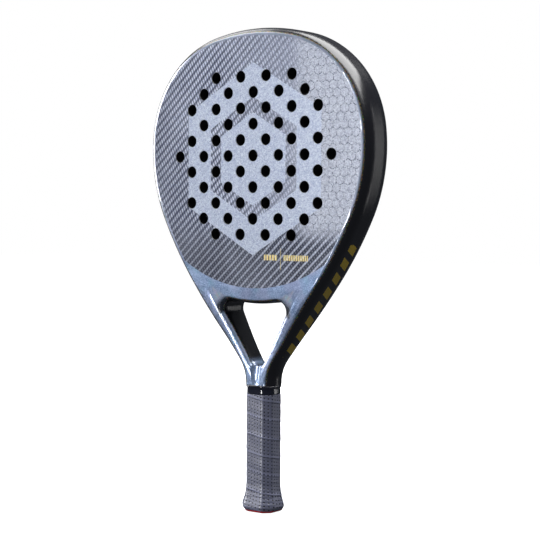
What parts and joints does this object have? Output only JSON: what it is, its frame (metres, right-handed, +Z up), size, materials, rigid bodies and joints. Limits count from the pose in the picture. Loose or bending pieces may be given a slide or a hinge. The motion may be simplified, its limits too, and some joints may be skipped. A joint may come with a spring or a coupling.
{
  "type": "padel racket",
  "caption": "Teardrop padel racket with a hollow carbon frame, drilled foam-filled head, open throat and a wrapped octagonal handle with flared butt cap.",
  "frame": {"origin": "bottom centre of the butt cap, the lowest point with the racket upright", "axes": "+Z up the handle to the top of the head, +X across the face, -Y out of the front face"},
  "size_m": [0.2562, 0.038, 0.455],
  "materials": {
    "lacquered_carbon": "clear lacquer over metallic blue and black paint on carbon fibre",
    "face_sheet": "silver-blue printed carbon sheet under clear lacquer",
    "inner_ply": "resin-bonded glass-fibre ply, matt",
    "eva_foam": "black EVA foam, fine closed cells",
    "filler_foam": "rigid polyurethane foam, matt",
    "pallet": "moulded structural foam, matt black",
    "cap_plastic": "moulded plastic, satin red",
    "staple_wire": "galvanised steel wire",
    "grip_wrap": "perforated synthetic grip strip, soft matt grey",
    "tape": "thin vinyl tape",
    "collar_rubber": "moulded rubber, glossy blue-black"
  },
  "bodies": {
    "root": {"frame_tube": "lacquered_carbon", "throat_bridge": "lacquered_carbon", "bridge_core": "filler_foam", "foam_core": "eva_foam", "front_face": "face_sheet", "back_face": "face_sheet", "front_inner_ply": "inner_ply", "back_inner_ply": "inner_ply", "handle_spacer": "filler_foam", "leg_plugs": "filler_foam", "front_pallet": "pallet", "back_pallet": "pallet", "butt_cap": "cap_plastic", "cap_staples": "staple_wire", "grip_staple": "staple_wire", "base_grip": "grip_wrap", "finishing_tape": "tape", "grip_collar": "collar_rubber"}
  },
  "joints": []
}
